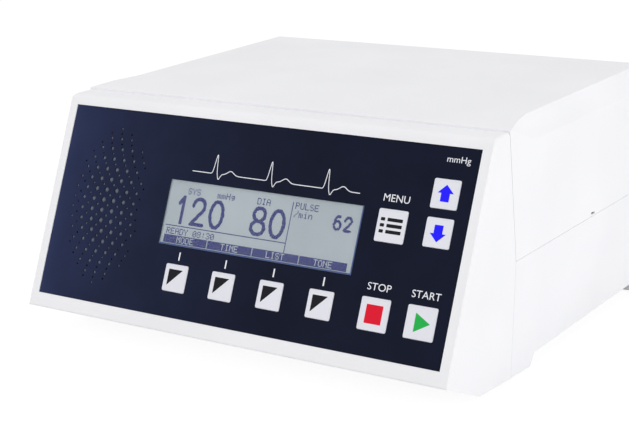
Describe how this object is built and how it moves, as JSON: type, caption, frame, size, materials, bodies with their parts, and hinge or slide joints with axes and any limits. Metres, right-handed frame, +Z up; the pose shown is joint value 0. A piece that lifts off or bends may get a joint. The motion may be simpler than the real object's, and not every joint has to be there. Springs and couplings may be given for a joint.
{
  "type": "blood_pressure_monitor",
  "caption": "Desktop blood-pressure monitor with a sloping keypad front, a dot-matrix display, a loudspeaker grille, a white two-part housing, an inner air pump and rear connectors.",
  "frame": {"origin": "On the ground under the middle of the housing.", "axes": "X runs right along the front, Y runs from the front to the back, Z runs up."},
  "size_m": [0.298, 0.2676, 0.1433],
  "materials": {
    "black_plastic": "black moulded plastic",
    "board_parts": "black parts of the boards",
    "brass": "bare brass",
    "capacitor_film": "dark sleeves and black heat sink",
    "ceramic": "white sensor housing",
    "circuit_board": "green solder mask",
    "clear_window": "clear flat window",
    "cloth": "black acoustic cloth",
    "cone_paper": "pressed black paper",
    "dark_alloy": "dark painted die casting",
    "diffuser": "white diffuser",
    "display_glass": "grey-green liquid crystal glass",
    "ferrite": "dark ferrite",
    "foil_navy": "satin printed foil",
    "foot_rubber": "grey rubber",
    "hose_rubber": "black silicone hose",
    "key_white": "satin printed key faces",
    "ribbon_grey": "grey flat cable",
    "sheet_metal": "plain sheet and turned parts",
    "shell_white": "fine matt moulded surface",
    "steel": "zinc-plated steel",
    "winding": "yellow taped winding"
  },
  "bodies": {
    "housing": {"front_frame": "shell_white", "front_plate": "sheet_metal", "front_foil": "foil_navy", "snap_domes": "steel", "keypad_board": "circuit_board", "keypad_spacers": "brass", "display_window": "clear_window", "display_bezel": "steel", "display_glass": "display_glass", "display_backlight": "diffuser", "display_board": "circuit_board", "display_spacers": "brass", "speaker_cloth": "cloth", "speaker_basket": "steel", "speaker_magnet": "ferrite", "speaker_clips": "sheet_metal", "top_cover": "shell_white", "bottom_shell": "shell_white", "rear_panel": "sheet_metal", "rubber_feet": "foot_rubber", "housing_screws": "steel", "frame_screws": "steel", "rear_fixings": "steel", "main_board": "circuit_board", "board_parts": "board_parts", "power_board": "circuit_board", "power_transformer": "winding", "power_parts": "capacitor_film", "board_screws": "steel", "pump_motor": "steel", "pump_head": "dark_alloy", "pump_bracket": "sheet_metal", "valve_block": "sheet_metal", "valve_coils": "black_plastic", "pressure_sensor": "ceramic", "pump_hose": "hose_rubber", "cuff_hose": "hose_rubber", "cuff_port": "sheet_metal", "microphone_socket": "black_plastic", "serial_port": "steel", "earth_pin": "brass", "mains_inlet": "black_plastic", "mains_pins": "sheet_metal", "front_ribbon": "ribbon_grey"},
    "key_soft_1": {"key_soft_1": "key_white"},
    "key_soft_2": {"key_soft_2": "key_white"},
    "key_soft_3": {"key_soft_3": "key_white"},
    "key_soft_4": {"key_soft_4": "key_white"},
    "key_menu": {"key_menu": "key_white"},
    "key_up": {"key_up": "key_white"},
    "key_down": {"key_down": "key_white"},
    "key_stop": {"key_stop": "key_white"},
    "key_start": {"key_start": "key_white"},
    "power_rocker": {"power_rocker": "black_plastic"},
    "fuse_drawer": {"fuse_drawer": "black_plastic"},
    "speaker_cone": {"speaker_cone": "cone_paper"},
    "pump_shaft": {"pump_shaft": "steel"},
    "inflate_plunger": {"inflate_plunger": "sheet_metal"},
    "bleed_plunger": {"bleed_plunger": "sheet_metal"}
  },
  "joints": [
    {"name": "press_soft_1", "type": "slide", "parent": "housing", "child": "key_soft_1", "axis": [0, 0.9114, -0.4115], "range_m": [0, 0.0005], "stiffness_N_per_m": 900},
    {"name": "press_soft_2", "type": "slide", "parent": "housing", "child": "key_soft_2", "axis": [0, 0.9114, -0.4115], "range_m": [0, 0.0005], "stiffness_N_per_m": 900},
    {"name": "press_soft_3", "type": "slide", "parent": "housing", "child": "key_soft_3", "axis": [0, 0.9114, -0.4115], "range_m": [0, 0.0005], "stiffness_N_per_m": 900},
    {"name": "press_soft_4", "type": "slide", "parent": "housing", "child": "key_soft_4", "axis": [0, 0.9114, -0.4115], "range_m": [0, 0.0005], "stiffness_N_per_m": 900},
    {"name": "press_menu", "type": "slide", "parent": "housing", "child": "key_menu", "axis": [0, 0.9114, -0.4115], "range_m": [0, 0.0005], "stiffness_N_per_m": 900},
    {"name": "press_up", "type": "slide", "parent": "housing", "child": "key_up", "axis": [0, 0.9114, -0.4115], "range_m": [0, 0.0005], "stiffness_N_per_m": 900},
    {"name": "press_down", "type": "slide", "parent": "housing", "child": "key_down", "axis": [0, 0.9114, -0.4115], "range_m": [0, 0.0005], "stiffness_N_per_m": 900},
    {"name": "press_stop", "type": "slide", "parent": "housing", "child": "key_stop", "axis": [0, 0.9114, -0.4115], "range_m": [0, 0.0005], "stiffness_N_per_m": 900},
    {"name": "press_start", "type": "slide", "parent": "housing", "child": "key_start", "axis": [0, 0.9114, -0.4115], "range_m": [0, 0.0005], "stiffness_N_per_m": 900},
    {"name": "rock_power_switch", "type": "hinge", "parent": "housing", "child": "power_rocker", "pos_m": [0.098, 0.118, 0.087], "axis": [1, 0, 0], "range_deg": [-10, 10]},
    {"name": "pull_fuse_drawer", "type": "slide", "parent": "housing", "child": "fuse_drawer", "axis": [0, 1, 0], "range_m": [0, 0.016]},
    {"name": "move_speaker_cone", "type": "slide", "parent": "housing", "child": "speaker_cone", "axis": [0, -0.9114, 0.4115], "range_m": [-0.0005, 0.0005], "stiffness_N_per_m": 1500},
    {"name": "turn_pump_shaft", "type": "hinge", "parent": "housing", "child": "pump_shaft", "pos_m": [0.026, 0.02, 0.0335], "axis": [0, 1, 0], "continuous": true},
    {"name": "open_inflate_valve", "type": "slide", "parent": "housing", "child": "inflate_plunger", "axis": [0, -1, 0], "range_m": [0, 0.0012], "stiffness_N_per_m": 600},
    {"name": "open_bleed_valve", "type": "slide", "parent": "housing", "child": "bleed_plunger", "axis": [0, -1, 0], "range_m": [0, 0.0012], "stiffness_N_per_m": 600}
  ]
}
